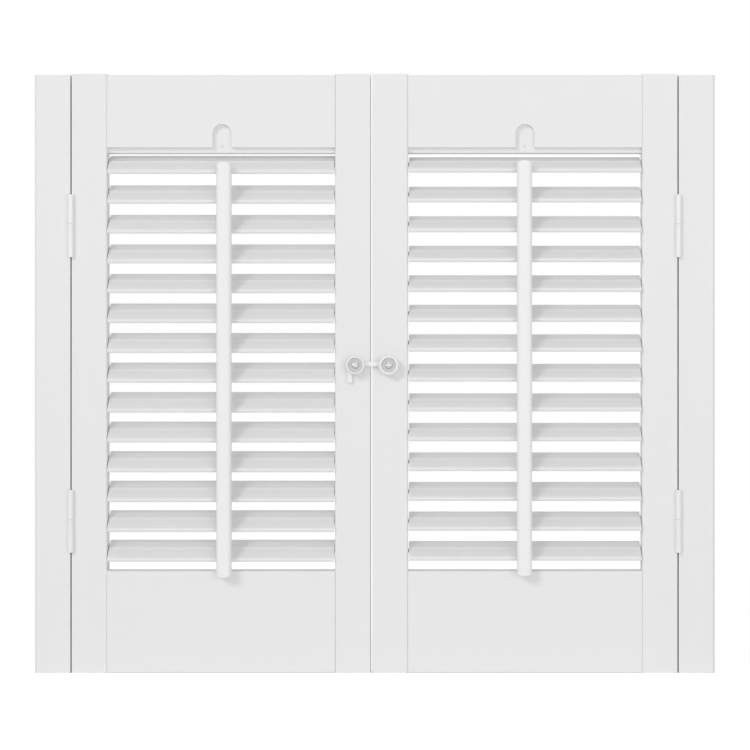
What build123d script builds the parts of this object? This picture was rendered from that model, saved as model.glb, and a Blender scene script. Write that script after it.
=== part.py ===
from build123d import *
from dataclasses import dataclass
from math import acos, asin, atan2, cos, hypot, radians, sin
import os

# A pair of louvred window shutters, closed, with the two hanging strips that carry them.
# X runs along the window, Y into the wall and Z up. The room side, with the tilt rods, faces -Y.
# The boards' middle plane is y = 0 and their lower ends are z = 0 while the pieces are built.
# At the end everything is shifted so that the origin is the bottom centre of the whole part.
# Each side is built in its own frame: x = 0 is the hinge pin's axis and +X runs to the seam.

# Boards, in millimetres
stile_height = 508.0
strip_drop_at_top = 0.8
board_thickness = 19.0
stile_width = 30.1
left_panel_width = 253.4
right_panel_width = 258.6
left_strip_width = 30.4
right_strip_width = 30.7
strip_outer_round = 2.8
inner_ease = 1.5
outer_ease = 0.7
rail_ease = 0.6
hinge_gap = 1.0
swing_clearance = 0.75

# Rails, joined to the stiles by glued stub tenons
top_rail_height = 65.5
bottom_rail_height = 86.6
rail_drop_at_top = 1.0
rail_rise_at_bottom = 0.3
bottom_rail_top_round = 1.6
rabbet_depth = 6.35
rabbet_height = 4.1
tenon_length = 15.0
tenon_thickness = 6.4
tenon_shoulder = 12.0
glue_line = 0.05
tenon_end_room = 1.0

# Notch that the tilt rod rises into, and the small hole bored in its back
notch_width = 16.1
notch_height = 19.9
left_notch_offset = 0.8
right_notch_offset = 0.0
notch_hole_radius = 0.9
notch_hole_depth = 1.5
notch_hole_above_lip = 1.3

# Louvres, turning on end pins in the stiles
louvre_count = 14
louvre_width = 31.2
louvre_thickness = 6.8
louvre_front_radius = 2.0
louvre_rear_radius = 1.3
louvre_valley_from_ridge = 5.2
louvre_valley_thickness = 5.3
louvre_shoulder_radius = 40.0
louvre_end_gap = 0.7
top_pivot_below_rail = 9.6
bottom_pivot_above_rail = 16.5
left_tilt = 30.0
right_tilt = 25.0
end_pin_radius = 1.6
end_pin_reach = 6.0
end_pin_clearance = 0.05
end_pin_end_room = 1.0

# Tilt rods and the wire staples that link them to the louvres
rod_width = 12.7
rod_depth = 9.5
rod_front_round = 4.0
rod_back_round = 1.0
rod_end_crown = 1.6
rod_above_top_staple = 9.8
rod_below_bottom_staple = 11.3
left_rod_offset = 3.5
right_rod_offset = 0.9
wire = 1.2
louvre_staple_span = 4.4
rod_staple_span = 4.0
staple_standoff = 4.0
staple_leg_in_louvre = 3.0
staple_leg_in_rod = 6.0
crown_to_crown = 1.8
crown_to_rod = 1.2

# Lift-off hinges in the gaps beside the strips
hinge_from_end = 129.0
barrel_radius = 2.65
barrel_length = 53.0
upper_knuckle_length = 24.7
washer_height = 2.4
knuckle_gap = 0.15
barrel_face_clearance = 0.25
hinge_pin_radius = 1.2
hinge_pin_clearance = 0.05
upper_knuckle_cap = 2.4
hinge_pin_end_room = 1.0
leaf_thickness = 1.2
leaf_spacing = 0.2
leaf_reach = 15.0
leaf_corner_radius = 2.0
leaf_edge_clearance = 0.1
leaf_screw_spacing = 34.0

# Countersunk hinge screws
screw_head_radius = 2.6
screw_shank_radius = 1.4
screw_length = 14.0
screw_clearance = 0.05

# Turned knobs, each held by a screw through its dished face
knob_height = 261.2
left_knob_inset = 12.7
right_knob_inset = 13.9
left_knob_radius = 8.05
right_knob_radius = 8.65
knob_projection = 13.0
knob_base_radius = 5.4
knob_base_height = 2.4
knob_neck_radius = 3.6
knob_neck_height = 2.3
knob_back_radius = 4.8
knob_rim_round = 1.6
knob_dish_radius = 6.2
knob_dish_depth = 2.9
knob_bore_radius = 2.1
knob_screw_head_radius = 3.2
knob_screw_head_height = 2.2
knob_screw_radius = 1.8
knob_screw_in_stile = 13.0

# Latch that turns on the left knob's neck and hooks over the right knob's neck
latch_thickness = 1.5
latch_bar_height = 4.2
latch_bar_rise = 0.9
latch_eye_wall = 2.1
latch_neck_clearance = 0.3
latch_hook_clearance = 0.6
latch_hook_wall = 2.4
latch_tail_width = 4.0
latch_tail_offset = 4.9
latch_tail_drop = 15.0

# Countersunk holes through each strip for the screws into the window's side
fixing_hole_radius = 2.25
fixing_head_radius = 4.5
fixing_hole_from_end = 60.0

# Places that follow from the sizes above
front_y = -board_thickness / 2
strip_height = stile_height - strip_drop_at_top
hinge_axis_y = front_y - barrel_face_clearance - barrel_radius
top_rail_top = stile_height - rail_drop_at_top
top_rail_bottom = top_rail_top - top_rail_height
lip_z = top_rail_bottom + rabbet_height
tongue_y = front_y + rabbet_depth
bottom_rail_bottom = rail_rise_at_bottom
bottom_rail_top = bottom_rail_bottom + bottom_rail_height
top_pivot_z = top_rail_bottom - top_pivot_below_rail
bottom_pivot_z = bottom_rail_top + bottom_pivot_above_rail
louvre_pitch = (top_pivot_z - bottom_pivot_z) / (louvre_count - 1)
pivot_heights = [top_pivot_z - i * louvre_pitch for i in range(louvre_count)]
crown_radius = louvre_width / 2 + staple_standoff
hinge_heights = [stile_height - hinge_from_end, hinge_from_end]
leaf_back_y = front_y + leaf_reach
leaf_outside = leaf_spacing / 2 + leaf_thickness
leaf_screw_y = (front_y + leaf_back_y) / 2
fixing_heights = [fixing_hole_from_end, strip_height / 2, strip_height - fixing_hole_from_end]


@dataclass
class Side:
    """What differs between the two panels. Offsets run towards the seam."""

    name: str
    strip_width: float
    panel_width: float
    tilt: float
    notch_offset: float
    rod_offset: float
    knob_inset: float
    knob_radius: float

    @property
    def panel_start(self):
        return hinge_gap / 2

    @property
    def panel_end(self):
        return self.panel_start + self.panel_width

    @property
    def panel_middle(self):
        return self.panel_start + self.panel_width / 2

    @property
    def rail_length(self):
        return self.panel_width - 2 * stile_width

    @property
    def louvre_length(self):
        return self.rail_length - 2 * louvre_end_gap

    @property
    def rod_x(self):
        return self.panel_middle + self.rod_offset

    @property
    def knob_x(self):
        return self.panel_end - self.knob_inset

    @property
    def crown_y(self):
        return -crown_radius * cos(radians(self.tilt))

    @property
    def crown_drop(self):
        return crown_radius * sin(radians(self.tilt))


left = Side(
    "left", left_strip_width, left_panel_width, left_tilt,
    left_notch_offset, left_rod_offset, left_knob_inset, left_knob_radius,
)
right = Side(
    "right", right_strip_width, right_panel_width, right_tilt,
    right_notch_offset, right_rod_offset, right_knob_inset, right_knob_radius,
)


def swing_out(panel_width):
    """How far a panel's rear corner reaches past its rest place while it swings open."""
    along = hinge_gap / 2 + panel_width
    return hypot(along, board_thickness / 2 - hinge_axis_y) - along


seam_gap = swing_clearance + max(swing_out(left_panel_width), swing_out(right_panel_width))
total_width = (
    left_strip_width + right_strip_width + left_panel_width + right_panel_width
    + 2 * hinge_gap + seam_gap
)
left_hinge_x = -total_width / 2 + left_strip_width + hinge_gap / 2
right_hinge_x = total_width / 2 - right_strip_width - hinge_gap / 2


def block(x, y, z):
    """A box between pairs of coordinates, each pair given as (low, high)."""
    return Pos(x[0], y[0], z[0]) * Box(
        x[1] - x[0], y[1] - y[0], z[1] - z[0], align=(Align.MIN, Align.MIN, Align.MIN)
    )


def along_x(shape):
    """Turn a shape built along +Z so that it runs along +X."""
    return Rot(Y=90) * shape


def upright_board(x, height, low_x_ease, high_x_ease):
    """A board standing on z = 0 between two x values, its four long edges eased."""
    middle = Pos((x[0] + x[1]) / 2, 0)
    section = middle * Rectangle(x[1] - x[0], board_thickness)
    section = fillet(section.vertices().group_by(Axis.X)[0], low_x_ease)
    section = fillet(section.vertices().group_by(Axis.X)[-1], high_x_ease)
    return extrude(section, height)


def leaf_mortise(direction):
    """The shallow recess that a hinge leaf lies in, open at the front, for one hinge at z = 0."""
    near = direction * hinge_gap / 4
    far = direction * leaf_outside
    half = barrel_length / 2 + leaf_edge_clearance
    return block(
        sorted((near, far)),
        (hinge_axis_y, leaf_back_y + leaf_edge_clearance),
        (-half, half),
    )


def wood_screw(clearance=0.0):
    """A countersunk screw along +Z, its flat head at z = 0 and as deep as the leaf is thick."""
    head = screw_head_radius + clearance
    shank = screw_shank_radius + clearance
    length = screw_length + clearance
    outline = Polyline(
        (0, 0), (head, 0), (shank, leaf_thickness), (shank, length), (0, length), close=True
    )
    return revolve(make_face(Plane.XZ * outline), Axis.Z)


def at_leaf_screws(direction, shape):
    """Two copies of a shape built along +Z, turned sideways from the gap, for a hinge at z = 0."""
    turned = Rot(Y=90 * direction) * shape
    start = direction * leaf_spacing / 2
    return [Pos(start, leaf_screw_y, z) * turned for z in (-leaf_screw_spacing / 2, leaf_screw_spacing / 2)]


def leaf_screw_hole():
    """The straight hole in the wood for a hinge screw's shank."""
    length = screw_length + screw_clearance
    return Cylinder(
        screw_shank_radius + screw_clearance, length, align=(Align.CENTER, Align.CENTER, Align.MIN)
    )


def hinge_cuts(direction):
    """Everything that the hinges need cut out of the board on one side of the gap."""
    cuts = []
    for z in hinge_heights:
        cuts += [Pos(0, 0, z) * leaf_mortise(direction)]
        cuts += [Pos(0, 0, z) * hole for hole in at_leaf_screws(direction, leaf_screw_hole())]
    return cuts


def hanging_strip(side):
    """The board fixed to the window's side. It carries the hinges and has three screw holes."""
    outer = -hinge_gap / 2 - side.strip_width
    strip = upright_board((outer, -hinge_gap / 2), strip_height, strip_outer_round, outer_ease)
    countersink_depth = fixing_head_radius - fixing_hole_radius
    shank = along_x(Cylinder(fixing_hole_radius, side.strip_width))
    head = along_x(Cone(fixing_hole_radius, fixing_head_radius, countersink_depth))
    for z in fixing_heights:
        strip -= Pos(-hinge_gap / 2 - side.strip_width / 2, 0, z) * shank
        strip -= Pos(-hinge_gap / 2 - countersink_depth / 2, 0, z) * head
    return strip - hinge_cuts(-1)


def rail_mortises(seat_x, direction):
    """Mortises in a stile for the tenons of both rails, cut from the face at seat_x."""
    deep = seat_x + direction * (tenon_length + tenon_end_room)
    half = tenon_thickness / 2 + glue_line
    return [
        block(sorted((seat_x, deep)), (-half, half), (z[0] - glue_line, z[1] + glue_line))
        for z in (top_tenon_span(), bottom_tenon_span())
    ]


def top_tenon_span():
    return lip_z + tenon_shoulder / 2, top_rail_top - tenon_shoulder


def bottom_tenon_span():
    return bottom_rail_bottom + tenon_shoulder, bottom_rail_top - tenon_shoulder


def end_pin_holes(seat_x, direction):
    """The row of blind holes that the louvres' end pins turn in."""
    depth = end_pin_reach - louvre_end_gap + end_pin_end_room
    hole = along_x(Cylinder(end_pin_radius + end_pin_clearance, depth))
    return [Pos(seat_x + direction * depth / 2, 0, z) * hole for z in pivot_heights]


def hinge_stile(side):
    """The stile beside the strip, with the hinge mortises and the louvre pin holes."""
    inner = side.panel_start + stile_width
    stile = upright_board((side.panel_start, inner), stile_height, outer_ease, inner_ease)
    return stile - hinge_cuts(1) - rail_mortises(inner, -1) - end_pin_holes(inner, -1)


def meeting_stile(side):
    """The stile at the seam, with the louvre pin holes and the hole for the knob's screw."""
    inner = side.panel_end - stile_width
    stile = upright_board((inner, side.panel_end), stile_height, inner_ease, outer_ease)
    screw_hole = Pos(side.knob_x, 0, knob_height) * knob_screw(screw_clearance)
    return stile - rail_mortises(inner, 1) - end_pin_holes(inner, 1) - screw_hole


def rail(side, section, tenon_z):
    """A rail swept along the panel between the stiles, with a stub tenon at each end."""
    start = side.panel_start + stile_width
    body = Pos(start, 0, 0) * extrude(section, side.rail_length, dir=(1, 0, 0))
    tenons = block(
        (start - tenon_length, start + side.rail_length + tenon_length),
        (-tenon_thickness / 2, tenon_thickness / 2),
        tenon_z,
    )
    return body + tenons


def rod_notch(side):
    """The round-topped notch in the top rail's face, open into the rabbet below."""
    radius = notch_width / 2
    arch = Pos(0, lip_z + notch_height - radius) * Circle(radius)
    legs = Pos(0, lip_z - rabbet_height / 2) * Rectangle(
        notch_width, rabbet_height / 2 + notch_height - radius, align=(Align.CENTER, Align.MIN)
    )
    cut = extrude(Plane.XZ.offset(-tongue_y) * (arch + legs), 2 * rabbet_depth)
    hole = Pos(0, tongue_y + notch_hole_depth / 2, lip_z + notch_hole_above_lip) * (
        Rot(X=90) * Cylinder(notch_hole_radius, notch_hole_depth)
    )
    return Pos(side.panel_middle + side.notch_offset, 0, 0) * (cut + hole)


def top_rail(side):
    """The top rail. Its lower front edge is rabbeted, so that the top louvre closes against it."""
    back_y = -front_y
    outline = Polyline(
        (front_y, top_rail_top), (back_y, top_rail_top), (back_y, top_rail_bottom),
        (tongue_y, top_rail_bottom), (tongue_y, lip_z), (front_y, lip_z), close=True,
    )
    section = make_face(Plane.YZ * outline)
    inside_corner = section.vertices().sort_by_distance((0, tongue_y, lip_z))[0]
    edges = [v for v in section.vertices() if v != inside_corner]
    section = fillet(edges, rail_ease)
    return rail(side, section, top_tenon_span()) - rod_notch(side)


def bottom_rail(side):
    """The bottom rail, a plain board whose upper front edge is rounded over."""
    middle = Plane.YZ * Pos(0, (bottom_rail_top + bottom_rail_bottom) / 2)
    section = middle * Rectangle(board_thickness, bottom_rail_height)
    front_top = section.vertices().sort_by_distance((0, front_y, bottom_rail_top))[0]
    section = fillet(front_top, bottom_rail_top_round)
    corners = section.vertices().group_by(Axis.Z)[0]
    corners += section.vertices().sort_by_distance((0, -front_y, bottom_rail_top))[:1]
    return rail(side, fillet(corners, rail_ease), bottom_tenon_span())


def louvre_section():
    """The moulded louvre's section, the same above and below, with its front edge towards -Y.

    A straight slope climbs from the rounded rear edge to a ridge along the middle. In front of the
    ridge lies a shallow valley, then a round shoulder, then a straight slope to the front edge.
    """
    ridge = Vector(0, louvre_thickness / 2)
    rear, front = louvre_rear_radius, louvre_front_radius
    rear_x, front_x = louvre_width / 2 - rear, louvre_width / 2 - front
    rear_slope = atan2(ridge.Y, rear_x) - asin(rear / hypot(rear_x, ridge.Y))
    rear_join = Vector(rear_x + rear * sin(rear_slope), rear * cos(rear_slope))
    valley = Vector(-louvre_valley_from_ridge, louvre_valley_thickness / 2)
    shoulder_centre = valley - Vector(0, louvre_shoulder_radius)
    across = front_x - louvre_valley_from_ridge
    front_slope = atan2(across, -shoulder_centre.Y) - acos(
        (louvre_shoulder_radius - front) / hypot(across, shoulder_centre.Y)
    )
    outward = Vector(-sin(front_slope), cos(front_slope))
    shoulder_end = shoulder_centre + outward * louvre_shoulder_radius
    front_join = Vector(-front_x, 0) + outward * front
    upper = Curve() + [
        TangentArc((louvre_width / 2, 0), rear_join, tangent=(0, 1)),
        Line(rear_join, ridge),
        TangentArc(valley, ridge, tangent=(1, 0)),
        TangentArc(valley, shoulder_end, tangent=(-1, 0)),
        Line(shoulder_end, front_join),
        TangentArc((-louvre_width / 2, 0), front_join, tangent=(0, 1)),
    ]
    return make_face(Plane.YZ * (upper + mirror(upper, about=Plane.XZ)))


def wire_staple(span, length):
    """A staple bent from square wire, flat on the XY plane, its crown at y = 0 and legs towards +Y."""
    outside = Pos(0, -wire / 2) * Rectangle(span + wire, length + wire / 2, align=(Align.CENTER, Align.MIN))
    inside = Pos(0, wire / 2) * Rectangle(span - wire, length, align=(Align.CENTER, Align.MIN))
    return extrude(outside - inside, wire / 2, both=True)


def flat_louvre(side):
    """A louvre lying level about its own pivot, with its end pins and its linking staple."""
    blade = extrude(louvre_section(), side.louvre_length / 2, both=True)
    pins = along_x(Cylinder(end_pin_radius, side.louvre_length + 2 * end_pin_reach))
    staple = wire_staple(louvre_staple_span, staple_standoff + staple_leg_in_louvre)
    return blade + pins + Pos(side.rod_offset, -crown_radius, 0) * staple


def louvres(side):
    """The panel's louvres from the top down, each tilted with its front edge low."""
    tilted = Rot(X=side.tilt) * flat_louvre(side)
    return [Pos(side.panel_middle, 0, z) * tilted for z in pivot_heights]


def tilt_rod(side):
    """The rod in front of the louvres, its front corners rounded and its two ends arched."""
    back_y = side.crown_y - crown_to_rod
    section = Pos(side.rod_x, back_y - rod_depth / 2) * Rectangle(rod_width, rod_depth)
    section = fillet(section.vertices().group_by(Axis.Y)[0], rod_front_round)
    section = fillet(section.vertices().group_by(Axis.Y)[-1], rod_back_round)
    low = bottom_pivot_z - side.crown_drop - rod_below_bottom_staple
    high = top_pivot_z - side.crown_drop + rod_above_top_staple
    rod = Pos(0, 0, low) * extrude(section, high - low)
    half = rod_width / 2
    shoulders = (low + rod_end_crown, high - rod_end_crown)
    front = Curve() + [
        ThreePointArc((-half, shoulders[0]), (0, low), (half, shoulders[0])),
        Line((half, shoulders[0]), (half, shoulders[1])),
        ThreePointArc((half, shoulders[1]), (0, high), (-half, shoulders[1])),
        Line((-half, shoulders[1]), (-half, shoulders[0])),
    ]
    arched = extrude(make_face(Plane.XZ.offset(-back_y) * front), rod_depth)
    return rod & Pos(side.rod_x, 0, 0) * arched


def rod_staples(side):
    """The rod's own staples. Each loops round the crown of a louvre's staple."""
    length = crown_to_crown + crown_to_rod + staple_leg_in_rod
    upright = Rot(Y=90) * (Rot(Z=180) * wire_staple(rod_staple_span, length))
    crown_y = side.crown_y + crown_to_crown
    return Compound([Pos(side.rod_x, crown_y, z - side.crown_drop) * upright for z in pivot_heights])


def hinge_leaf(direction):
    """One leaf with its knuckle, for a hinge at z = 0. The panel's leaf has the upper knuckle."""
    half = barrel_length / 2
    split = half - upper_knuckle_length
    upper = (split, half)
    lower = (-half, split - knuckle_gap - washer_height)
    own, other = (upper, (-half, split)) if direction > 0 else (lower, (lower[1], half))
    plate = block(
        sorted((direction * leaf_spacing / 2, direction * leaf_outside)),
        (hinge_axis_y, leaf_back_y),
        (-half, half),
    )
    corners = plate.edges().filter_by(Axis.X).group_by(Axis.Y)[-1]
    plate = fillet(corners, leaf_corner_radius)
    room = barrel_radius + barrel_face_clearance / 2
    plate -= knuckle_cylinder(room, other)
    bore_top = upper[1] - upper_knuckle_cap if direction > 0 else lower[1]
    leaf = plate + knuckle_cylinder(barrel_radius, own)
    leaf -= knuckle_cylinder(hinge_pin_radius + hinge_pin_clearance, (own[0], bore_top))
    return leaf - at_leaf_screws(direction, wood_screw(screw_clearance))


def knuckle_cylinder(radius, z):
    """A cylinder about the hinge pin's axis between two heights."""
    return Pos(0, hinge_axis_y, z[0]) * Cylinder(
        radius, z[1] - z[0], align=(Align.CENTER, Align.CENTER, Align.MIN)
    )


def hinge_pin():
    """The pin fixed in the lower knuckle. The panel lifts off it."""
    top = barrel_length / 2 - upper_knuckle_cap - hinge_pin_end_room
    return knuckle_cylinder(hinge_pin_radius, (-barrel_length / 2, top))


def hinge_washer():
    """The ring between the knuckles that the panel's weight turns on."""
    top = barrel_length / 2 - upper_knuckle_length - knuckle_gap
    span = (top - washer_height, top)
    return knuckle_cylinder(barrel_radius, span) - knuckle_cylinder(
        hinge_pin_radius + hinge_pin_clearance, span
    )


def at_each_hinge(shapes):
    """Copies of a hinge's pieces at both hinges of one side, as one group."""
    return Compound([Pos(0, 0, z) * shape for z in hinge_heights for shape in shapes])


def knob(radius):
    """A turned knob standing out along -Y from y = 0: base, neck, flared head and dished face."""
    back = knob_base_height + knob_neck_height
    rim = radius - knob_rim_round
    rim_side = knob_projection - knob_rim_round
    floor = knob_projection - knob_dish_depth
    floor_radius = knob_dish_radius - knob_dish_depth / 2
    diagonal = knob_rim_round * sin(radians(45))
    stem = Polyline(
        (knob_bore_radius, 0), (knob_base_radius, 0), (knob_base_radius, -knob_base_height),
        (knob_neck_radius, -knob_base_height), (knob_neck_radius, -back),
        (knob_back_radius, -back), (radius, -rim_side),
    )
    edge = ThreePointArc(
        (radius, -rim_side), (rim + diagonal, -rim_side - diagonal), (rim, -knob_projection)
    )
    face = Polyline(
        (rim, -knob_projection), (knob_dish_radius, -knob_projection), (floor_radius, -floor),
        (knob_bore_radius, -floor), (knob_bore_radius, 0),
    )
    return revolve(make_face(Curve() + [stem, edge, face]), Axis.Y)


def placed_knob(side):
    """One side's knob, standing on the face of its meeting stile."""
    return Pos(side.knob_x, front_y, knob_height) * knob(side.knob_radius)


def knob_screw(clearance=0.0):
    """The cylinder-headed screw through a knob into the stile, about the axis x = z = 0."""
    shank = knob_screw_radius + clearance
    seat = front_y - knob_projection + knob_dish_depth
    tip = front_y + knob_screw_in_stile + clearance
    head_top = seat - knob_screw_head_height
    outline = Polyline(
        (0, head_top), (knob_screw_head_radius, head_top), (knob_screw_head_radius, seat),
        (shank, seat), (shank, tip), (0, tip), close=True,
    )
    return revolve(make_face(outline), Axis.Y)


def latch():
    """The flat latch in the left side's frame: eye, bar, hook that opens downward, and finger tail."""
    reach = left.knob_inset + seam_gap + right.knob_inset
    eye_bore = knob_neck_radius + latch_neck_clearance
    slot = knob_neck_radius + latch_hook_clearance
    outline = Circle(eye_bore + latch_eye_wall) + Pos(reach, 0) * Circle(slot + latch_hook_wall)
    outline += Pos(reach / 2, latch_bar_rise) * Rectangle(reach, latch_bar_height)
    tail = Rectangle(latch_tail_width, latch_tail_drop, align=(Align.CENTER, Align.MAX))
    outline += Pos(-latch_tail_offset, 0) * tail
    outline -= Circle(eye_bore)
    outline -= Pos(reach, 0) * (Circle(slot) + Rectangle(2 * slot, 2 * slot, align=(Align.CENTER, Align.MAX)))
    plate = extrude(Plane.XZ * outline, latch_thickness / 2, both=True)
    middle_y = front_y - knob_base_height - knob_neck_height / 2
    return Pos(left.knob_x, middle_y, knob_height) * plate


def in_place(side, shape):
    """Move a shape from a side's own frame to its place. The right side is the mirror image."""
    if side is left:
        return Pos(left_hinge_x, 0, 0) * shape
    return Pos(right_hinge_x, 0, 0) * mirror(shape, about=Plane.YZ)


def side_nodes(side):
    """Every node of one side, still in the side's own frame."""
    nodes = {
        "strip": hanging_strip(side),
        "hinge_stile": hinge_stile(side),
        "meeting_stile": meeting_stile(side),
        "top_rail": top_rail(side),
        "bottom_rail": bottom_rail(side),
        "tilt_rod": tilt_rod(side),
        "rod_staples": rod_staples(side),
        "strip_hinge_leaves": at_each_hinge([hinge_leaf(-1)]),
        "panel_hinge_leaves": at_each_hinge([hinge_leaf(1)]),
        "hinge_pins": at_each_hinge([hinge_pin()]),
        "hinge_washers": at_each_hinge([hinge_washer()]),
        "strip_hinge_screws": at_each_hinge(at_leaf_screws(-1, wood_screw())),
        "panel_hinge_screws": at_each_hinge(at_leaf_screws(1, wood_screw())),
        "knob": placed_knob(side),
        "knob_screw": Pos(side.knob_x, 0, knob_height) * knob_screw(),
    }
    for number, louvre in enumerate(louvres(side), start=1):
        nodes[f"louvre_{number:02d}"] = louvre
    return {f"{side.name}_{name}": in_place(side, shape) for name, shape in nodes.items()}


def all_nodes():
    """All nodes, moved so that the origin is the bottom centre of the whole part."""
    nodes = side_nodes(left) | side_nodes(right) | {"latch": in_place(left, latch())}
    box = Compound(list(nodes.values())).bounding_box()
    middle = box.center()
    to_origin = Pos(-middle.X, -middle.Y, -box.min.Z)
    return {name: to_origin * shape for name, shape in nodes.items()}


def write_parts():
    os.makedirs("parts", exist_ok=True)
    for name, shape in all_nodes().items():
        export_step(shape, f"parts/{name}.step")


write_parts()
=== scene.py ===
import bmesh
import bpy
import math
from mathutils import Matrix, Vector


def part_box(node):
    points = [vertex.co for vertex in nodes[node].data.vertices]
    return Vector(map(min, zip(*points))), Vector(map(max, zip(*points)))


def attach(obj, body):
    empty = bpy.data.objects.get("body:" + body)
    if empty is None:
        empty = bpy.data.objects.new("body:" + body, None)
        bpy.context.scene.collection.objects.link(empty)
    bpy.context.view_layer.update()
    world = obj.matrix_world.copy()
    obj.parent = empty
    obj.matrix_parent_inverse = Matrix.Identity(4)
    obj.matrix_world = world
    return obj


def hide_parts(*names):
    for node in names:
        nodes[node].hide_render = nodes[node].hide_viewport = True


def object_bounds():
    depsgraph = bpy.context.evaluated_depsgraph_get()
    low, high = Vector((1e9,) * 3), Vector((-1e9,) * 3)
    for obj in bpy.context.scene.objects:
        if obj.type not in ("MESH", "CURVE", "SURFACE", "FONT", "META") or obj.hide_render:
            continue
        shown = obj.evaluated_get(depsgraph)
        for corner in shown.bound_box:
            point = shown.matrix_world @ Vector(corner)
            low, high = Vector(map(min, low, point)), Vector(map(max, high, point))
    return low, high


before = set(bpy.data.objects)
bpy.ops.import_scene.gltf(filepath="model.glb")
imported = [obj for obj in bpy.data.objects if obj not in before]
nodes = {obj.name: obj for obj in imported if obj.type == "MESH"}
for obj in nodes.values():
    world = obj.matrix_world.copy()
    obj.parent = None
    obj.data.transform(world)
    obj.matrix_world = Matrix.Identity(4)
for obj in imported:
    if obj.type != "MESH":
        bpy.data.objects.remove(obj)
cad_box = [list(corner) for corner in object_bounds()]

# Lengths are in metres unless a line says mm, in the part's own frame: +X right, +Y into the window, +Z up
MM = 0.001

# Tones of paint, metal and floor as linear values
WHITE = 0.89
ROD_WHITE = 0.94
HINGE_WHITE = 0.91
KNOB_WHITE = 0.88
# The knobs' dishes: a greyer enamel, made darker still as painted shade in the recess
DISH_GREY_AND_SHADE = 0.70
ZINC = 0.72
FLOOR_WHITE = 0.92
FULL_WHITE = (1, 1, 1, 1)

# Most values of a noise texture lie between these
NOISE_LOW = 0.3
NOISE_HIGH = 0.7

# How many times a noise's cells are stretched along X, Y and Z
EVEN = (1, 1, 1)
ALONG_X = (14, 1, 1)
ALONG_Z = (1, 1, 14)
DRAWN = (1, 1, 12)

# Edges of the solids: how close faces have to be to be joined, from what angle in degrees an edge is rounded,
# and how far, on the hinges and elsewhere
JOIN_WITHIN = 0.000002
ROUND_ABOVE = 40
HINGE_EDGE = 0.00028
OTHER_EDGE = 0.00035

# The knobs: each one's radius in mm, and how far its screw is turned in degrees
KNOB_RADIUS = {"left": 8.05, "right": 8.65}
SCREW_TURN = {"left": 20.0, "right": 52.0}

# Camera, worked out from the photo's perspective
CAMERA_PLACE = (0.054, -2.252, 0.2528)
CAMERA_LENS = 127.4
CAMERA_SHIFT_X = -0.08459
CAMERA_REACH = 50

# Soft boxes: place, width, power
KEY_LIGHT = ((-3.0, -6.3, 2.9), 1.6, 104.0)
FILL_LIGHT = ((0.8, -3.2, 0.15), 1.6, 32.0)

# The strength of the world's soft light, and the floor's width and the glow that only the camera sees
AMBIENT = 0.535
FLOOR_SIZE = 12.0
FLOOR_GLOW = 0.5


# Materials

class Nodes:
    """A short way to build a node tree."""

    def __init__(self, tree):
        self.tree = tree
        tree.nodes.clear()

    def add(self, kind, inputs=None, **settings):
        node = self.tree.nodes.new(kind)
        for name, value in settings.items():
            setattr(node, name, value)
        for name, value in (inputs or {}).items():
            self.feed(node, name, value)
        return node

    def feed(self, node, name, value):
        if isinstance(value, bpy.types.NodeSocket):
            self.tree.links.new(value, node.inputs[name])
        else:
            node.inputs[name].default_value = value


def new_material(name):
    """A new material, and its emptied node tree."""
    material = bpy.data.materials.new(name)
    material.use_nodes = True
    return material, Nodes(material.node_tree)


def stretched_noise(n, stretch, scale, detail, offset=0.0):
    """Noise in the part's frame, its cells stretched by three factors."""
    where = n.add("ShaderNodeTexCoord").outputs["Object"]
    mapping = n.add("ShaderNodeMapping", {"Vector": where})
    mapping.inputs["Scale"].default_value = [1 / s for s in stretch]
    mapping.inputs["Location"].default_value = (offset, offset, offset)
    noise = n.add("ShaderNodeTexNoise", {"Vector": mapping.outputs[0], "Scale": scale, "Detail": detail})
    return noise.outputs["Fac"]


def varied(n, noise, middle, spread):
    """A value that the noise moves up and down from its middle, by the spread at most."""
    node = n.add("ShaderNodeMapRange", {"Value": noise, "From Min": NOISE_LOW, "From Max": NOISE_HIGH,
                                        "To Min": middle - spread, "To Max": middle + spread})
    return node.outputs[0]


def grey(n, value):
    node = n.add("ShaderNodeCombineColor", {"Red": value, "Green": value, "Blue": value})
    return node.outputs[0]


def add_surface(n, colour, rough, relief, relief_strength, relief_depth, more=None):
    """Join a surface's colour, roughness and relief to the material's output."""
    bump = n.add("ShaderNodeBump", {"Height": relief, "Strength": relief_strength, "Distance": relief_depth})
    shader = n.add("ShaderNodeBsdfPrincipled", {"Base Color": colour, "Roughness": rough,
                                                "Normal": bump.outputs[0], **(more or {})})
    n.add("ShaderNodeOutputMaterial", {"Surface": shader.outputs[0]})


def painted_wood(name, stretch, white, roughness, grain):
    """White satin paint over wood: faint grain and brush marks run along the board."""
    material, n = new_material(name)
    broad = stretched_noise(n, stretch, scale=9.0, detail=2.0)
    fibres = stretched_noise(n, stretch, scale=420.0, detail=3.0, offset=3.7)
    strokes = stretched_noise(n, stretch, scale=130.0, detail=2.0, offset=8.1)
    colour = grey(n, varied(n, broad, white, spread=0.006))
    rough = varied(n, strokes, roughness, spread=0.05)
    relief = n.add("ShaderNodeMath", {0: fibres, 1: strokes}, operation="ADD")
    add_surface(n, colour, rough, relief.outputs[0], relief_strength=grain, relief_depth=0.00012,
                more={"Specular IOR Level": 0.3})
    return material


def painted_metal(name, white, roughness, peel):
    """Satin enamel on metal, with the faint ripple that sprayed or brushed enamel has."""
    material, n = new_material(name)
    broad = stretched_noise(n, EVEN, scale=60.0, detail=2.0)
    ripple = stretched_noise(n, EVEN, scale=700.0, detail=2.0, offset=5.3)
    colour = grey(n, varied(n, broad, white, spread=0.01))
    rough = varied(n, ripple, roughness, spread=0.04)
    add_surface(n, colour, rough, ripple, relief_strength=peel, relief_depth=0.00008)
    return material


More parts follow.
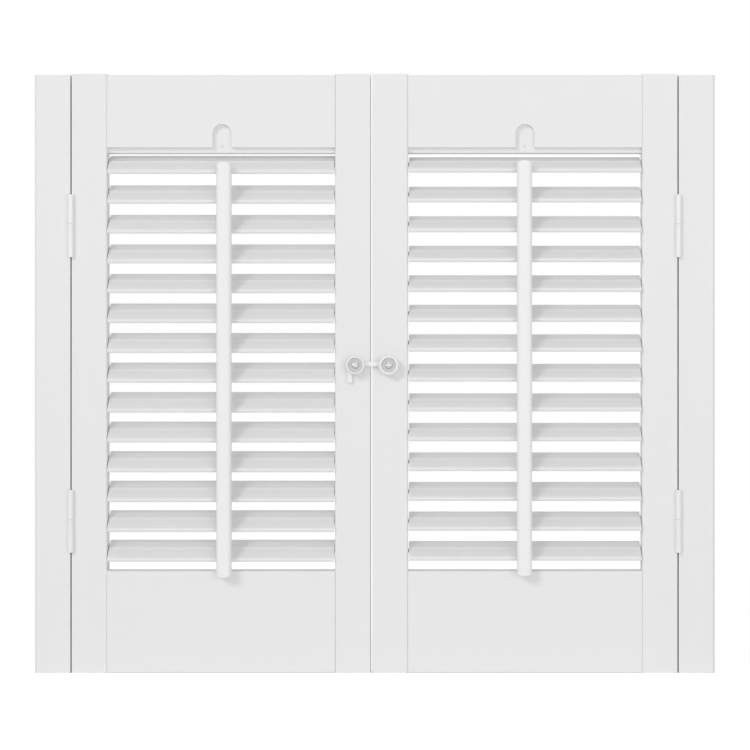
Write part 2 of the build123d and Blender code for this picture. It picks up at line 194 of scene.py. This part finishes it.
def zinc_plate(name):
    """Zinc plated steel with fine drawn lines and a mottled sheen."""
    material, n = new_material(name)
    mottle = stretched_noise(n, EVEN, scale=900.0, detail=3.0)
    lines = stretched_noise(n, DRAWN, scale=2600.0, detail=2.0, offset=2.2)
    colour = grey(n, varied(n, mottle, ZINC, spread=0.07))
    rough = varied(n, mottle, middle=0.53, spread=0.07)
    add_surface(n, colour, rough, lines, relief_strength=0.25, relief_depth=0.00003, more={"Metallic": 1.0})
    return material


upright_paint = painted_wood("upright_paint", ALONG_Z, WHITE, roughness=0.56, grain=0.16)
level_paint = painted_wood("level_paint", ALONG_X, WHITE, roughness=0.56, grain=0.16)
louvre_paint = painted_wood("louvre_paint", ALONG_X, WHITE, roughness=0.56, grain=0.22)
rod_paint = painted_wood("rod_paint", ALONG_Z, ROD_WHITE, roughness=0.45, grain=0.30)
hinge_paint = painted_metal("hinge_paint", HINGE_WHITE, roughness=0.22, peel=0.10)
knob_enamel = painted_metal("knob_enamel", KNOB_WHITE, roughness=0.26, peel=0.15)
# A greyer enamel for the knobs' dishes, darkened further as painted shade in the recess
dish_grey_and_shade = painted_metal("dish_grey_and_shade", DISH_GREY_AND_SHADE, roughness=0.34, peel=0.4)
latch_paint = painted_metal("latch_paint", HINGE_WHITE, roughness=0.34, peel=0.30)
zinc = zinc_plate("zinc")


def material_for(name):
    """The finish of a solid, from what it is."""
    if "_louvre_" in name:
        return louvre_paint
    if name.endswith("_tilt_rod"):
        return rod_paint
    if name.endswith("_rail"):
        return level_paint
    if name.endswith(("_stile", "_strip")):
        return upright_paint
    if name.endswith(("_hinge_leaves", "_hinge_washers")):
        return hinge_paint
    if name.endswith("_knob"):
        return knob_enamel
    if name == "latch":
        return latch_paint
    return zinc


def soften_edges(piece, width):
    """Round a piece's sharp edges. The faces are joined first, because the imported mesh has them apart."""
    weld = piece.modifiers.new("join_faces", "WELD")
    weld.merge_threshold = JOIN_WITHIN
    bevel = piece.modifiers.new("soft_edges", "BEVEL")
    bevel.width = width
    bevel.segments = 2
    bevel.limit_method = "ANGLE"
    bevel.angle_limit = math.radians(ROUND_ABOVE)
    even = piece.modifiers.new("even_shading", "WEIGHTED_NORMAL")
    even.keep_sharp = False


def edge_width(name):
    """How far paint or wear has rounded a solid's sharp edges, or 0 where they are left as they are."""
    if name.endswith(("_hinge_leaves", "_hinge_washers")):
        return HINGE_EDGE
    if name.endswith(("_rod_staples", "_rail")) or name == "latch":
        return OTHER_EDGE
    return 0


for name, node in nodes.items():
    node.data.materials.clear()
    node.data.materials.append(material_for(name))
    if edge_width(name):
        soften_edges(node, edge_width(name))


# Pieces made here

def as_piece(name, mesh, smooth_below=180.0):
    """Turn a bmesh into an object. Edges sharper than the given angle in degrees stay sharp."""
    bmesh.ops.recalc_face_normals(mesh, faces=mesh.faces)
    for face in mesh.faces:
        face.smooth = True
    for edge in mesh.edges:
        if len(edge.link_faces) == 2:
            edge.smooth = edge.calc_face_angle() < math.radians(smooth_below)
    data = bpy.data.meshes.new(name)
    mesh.to_mesh(data)
    mesh.free()
    piece = bpy.data.objects.new(name, data)
    bpy.context.scene.collection.objects.link(piece)
    return piece


def join_rings(mesh, rings):
    """Faces between each ring of points and the next. All rings have as many points."""
    steps = len(rings[0])
    for first, second in zip(rings, rings[1:]):
        for step in range(steps):
            after = (step + 1) % steps
            mesh.faces.new((first[step], first[after], second[after], second[step]))


def turned(name, profile, place, steps=96):
    """A piece turned about an axis along Y. The profile's points are (radius, y)."""
    mesh = bmesh.new()
    rings = []
    for radius, y in profile:
        ring = []
        for step in range(steps):
            angle = 2 * math.pi * step / steps
            spoke = Vector((radius * math.cos(angle), y, radius * math.sin(angle)))
            ring.append(mesh.verts.new(place + spoke))
        rings.append(ring)
    join_rings(mesh, rings)
    return as_piece(name, mesh)


def arc(centre_point, radius, start, end, steps):
    """Points of a circular arc between two angles in degrees."""
    angles = [math.radians(start + (end - start) * i / steps) for i in range(steps + 1)]
    return [(centre_point[0] + radius * math.cos(a), centre_point[1] + radius * math.sin(a)) for a in angles]


class Knob:
    """What the two turned knobs have in common, in mm: the solid knobs' lengths, then their small edges."""
    projection = 13.0
    base_radius = 5.4
    base_height = 2.4
    neck_radius = 3.6
    back = 4.7
    back_radius = 4.8
    rim_round = 1.6
    dish_radius = 6.2
    dish_depth = 2.9
    bore_radius = 2.1
    base_round = 0.5
    neck_corner = 0.3
    bore_corner = 0.2
    lip_round = 0.2
    floor_corner_height = 0.5
    floor_corner_outside = 0.5
    floor_corner_inside = 0.3


def knob_profile(radius):
    """Half of a knob's outline as (radius, y) in mm, with y going down towards the viewer."""
    k = Knob
    front = -k.projection
    floor = front + k.dish_depth
    floor_radius = k.dish_radius - k.dish_depth / 2
    base_centre = (k.base_radius - k.base_round, -k.base_height + k.base_round)
    rim_centre = (radius - k.rim_round, front + k.rim_round)
    lip_centre = (k.dish_radius + k.lip_round, front + k.lip_round)
    return [
        (k.bore_radius, 0), (k.base_radius, 0), (k.base_radius, -k.base_height + k.base_round),
        *arc(base_centre, k.base_round, 0, -90, steps=6)[1:],
        (k.neck_radius + k.neck_corner, -k.base_height), (k.neck_radius, -k.base_height - k.neck_corner),
        (k.neck_radius, -k.back + k.neck_corner), (k.neck_radius + k.neck_corner, -k.back),
        (k.back_radius, -k.back), (radius, front + k.rim_round),
        *arc(rim_centre, k.rim_round, 0, -90, steps=12)[1:],
        *arc(lip_centre, k.lip_round, -90, -135, steps=4),
        (floor_radius + k.floor_corner_outside, floor - k.floor_corner_height),
        (floor_radius - k.floor_corner_inside, floor), (k.bore_radius + k.bore_corner, floor),
        (k.bore_radius, floor + k.bore_corner), (k.bore_radius, 0),
    ]


def in_metres(profile):
    return [(radius * MM, y * MM) for radius, y in profile]


def finished(piece, material, slot, body, *replaced):
    """Give a piece its material and its body, and hide the solids it stands for. The slot is not used."""
    piece.data.materials.append(material)
    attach(piece, body)
    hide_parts(*replaced)


def add_knob(side, radius):
    """A knob in the solid knob's place. Its dish has a greyer enamel of its own, made darker still as painted
    shade in the recess.
    """
    low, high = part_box(f"{side}_knob")
    foot = Vector(((low[0] + high[0]) / 2, high[1], (low[2] + high[2]) / 2))
    knob = turned(f"{side}_turned_knob", in_metres(knob_profile(radius)), foot)
    finished(knob, knob_enamel, "knobs", f"{side}_panel", f"{side}_knob")
    # Faces inside the dish get the greyer enamel with its painted shade
    knob.data.materials.append(dish_grey_and_shade)
    reach = (Knob.dish_radius - Knob.lip_round) * MM
    for face in knob.data.polygons:
        away = face.center - foot
        in_dish = math.hypot(away.x, away.z) < reach and away.y < -Knob.back * MM
        face.material_index = int(in_dish)


class Screw:
    """The screw through a knob, in mm. A crown point is (in from the rim, forward from under the head)."""
    head_radius = 3.2
    head_height = 2.2
    crown = ((0.0, 1.0), (0.15, 1.35), (0.5, 1.75), (1.0, 2.05))
    shank_radius = 1.8
    tip_length = 2.5
    tip_share = 0.2
    arm_reach = 2.0
    arm_half_width = 0.55
    recess_depth = 1.8
    recess_share = 0.8
    points_per_side = 5
    smooth_below = 38.0


def cross_outline():
    """The cross recess's outline as (x, z), counter-clockwise from the right arm's lower corner."""
    reach, half = Screw.arm_reach, Screw.arm_half_width
    quarter = [(reach, -half), (reach, half), (half, half)]
    points = []
    for turn in range(4):
        for x, z in quarter:
            for _ in range(turn):
                x, z = -z, x
            points.append((x, z))
    return points


def cross_screw(name, low, high, turn):
    """A pan head screw along Y with a cross recess, in the place of the solid screw's box."""
    k = Screw
    axis = Vector(((low[0] + high[0]) / 2, low[1] + k.head_height * MM, (low[2] + high[2]) / 2))
    tip = (high[1] - axis.y) / MM
    outline = cross_outline()
    steps = k.points_per_side * len(outline)
    start = math.atan2(outline[0][1], outline[0][0])
    spin = math.radians(turn)
    mesh = bmesh.new()

    def vertex(x, y, z):
        turned_x = x * math.cos(spin) - z * math.sin(spin)
        turned_z = x * math.sin(spin) + z * math.cos(spin)
        return mesh.verts.new(axis + MM * Vector((turned_x, y, turned_z)))

    def circle(radius, y):
        angles = [start + 2 * math.pi * i / steps for i in range(steps)]
        return [vertex(radius * math.cos(a), y, radius * math.sin(a)) for a in angles]

    def along_outline(scale, y):
        points = []
        for here, after in zip(outline, outline[1:] + outline[:1]):
            for i in range(k.points_per_side):
                x = here[0] + (after[0] - here[0]) * i / k.points_per_side
                z = here[1] + (after[1] - here[1]) * i / k.points_per_side
                points.append((x, z))
        return [vertex(x * scale, y, z * scale) for x, z in points]

    rings = [
        circle(k.shank_radius * k.tip_share, tip), circle(k.shank_radius, tip - k.tip_length),
        circle(k.shank_radius, 0.0), circle(k.head_radius, 0.0),
        *[circle(k.head_radius - inward, -forward) for inward, forward in k.crown],
        along_outline(1.0, -k.head_height), along_outline(k.recess_share, -k.head_height + k.recess_depth),
    ]
    mesh.faces.new(rings[0])
    join_rings(mesh, rings)
    mesh.faces.new(rings[-1])
    return as_piece(name, mesh, k.smooth_below)


def add_screw(side, turn):
    screw = cross_screw(f"{side}_cross_screw", *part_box(f"{side}_knob_screw"), turn)
    finished(screw, zinc, "steel", f"{side}_panel", f"{side}_knob_screw")


for side in KNOB_RADIUS:
    add_knob(side, KNOB_RADIUS[side])
    add_screw(side, SCREW_TURN[side])


# Floor, background, light and camera

def studio_floor():
    """A pale floor that shows white to the camera and keeps the object's shadow."""
    bpy.ops.mesh.primitive_plane_add(size=FLOOR_SIZE, location=(0, 0, 0))
    floor = bpy.context.object
    floor.name = "floor"
    material, n = new_material("floor_white")
    tone = stretched_noise(n, EVEN, scale=3.0, detail=1.0)
    matt = n.add("ShaderNodeBsdfDiffuse", {"Color": grey(n, varied(n, tone, FLOOR_WHITE, spread=0.01))})
    glow = n.add("ShaderNodeEmission", {"Color": FULL_WHITE, "Strength": FLOOR_GLOW})
    shown = n.add("ShaderNodeAddShader", {0: matt.outputs[0], 1: glow.outputs[0]})
    path = n.add("ShaderNodeLightPath")
    mixed = n.add("ShaderNodeMixShader", {0: path.outputs["Is Camera Ray"], 1: matt.outputs[0],
                                          2: shown.outputs[0]})
    n.add("ShaderNodeOutputMaterial", {"Surface": mixed.outputs[0]})
    floor.data.materials.append(material)


def studio_world():
    """White to the camera, in reflections and through glass, and a plain soft light for everything else."""
    world = bpy.data.worlds.new("studio")
    bpy.context.scene.world = world
    world.use_nodes = True
    n = Nodes(world.node_tree)
    path = n.add("ShaderNodeLightPath")
    seen = n.add("ShaderNodeMath", {0: path.outputs["Is Camera Ray"], 1: path.outputs["Is Glossy Ray"]},
                 operation="MAXIMUM")
    seen = n.add("ShaderNodeMath", {0: seen.outputs[0], 1: path.outputs["Is Transmission Ray"]},
                 operation="MAXIMUM")
    strength = n.add("ShaderNodeMapRange", {"Value": seen.outputs[0], "To Min": AMBIENT, "To Max": 1.0})
    glow = n.add("ShaderNodeBackground", {"Color": FULL_WHITE, "Strength": strength.outputs[0]})
    n.add("ShaderNodeOutputWorld", {"Surface": glow.outputs[0]})


def soft_box(name, place, width, power, target):
    """A square lamp that points at the target."""
    light = bpy.data.lights.new(name, "AREA")
    light.shape = "SQUARE"
    light.size = width
    light.energy = power
    lamp = bpy.data.objects.new(name, light)
    lamp.location = place
    lamp.rotation_euler = (target - Vector(place)).to_track_quat("-Z", "Y").to_euler()
    bpy.context.scene.collection.objects.link(lamp)


def photo_camera():
    """A level camera that looks along +Y."""
    data = bpy.data.cameras.new("photo_camera")
    data.lens = CAMERA_LENS
    data.shift_x = CAMERA_SHIFT_X
    data.clip_end = CAMERA_REACH
    camera = bpy.data.objects.new("photo_camera", data)
    camera.location = CAMERA_PLACE
    camera.rotation_euler = (math.radians(90), 0, 0)
    bpy.context.scene.collection.objects.link(camera)
    bpy.context.scene.camera = camera


middle = Vector((0, 0, (cad_box[0][2] + cad_box[1][2]) / 2))
studio_floor()
studio_world()
soft_box("key", *KEY_LIGHT, middle)
soft_box("fill", *FILL_LIGHT, middle)
photo_camera()
bpy.context.scene.view_settings.view_transform = "Standard"
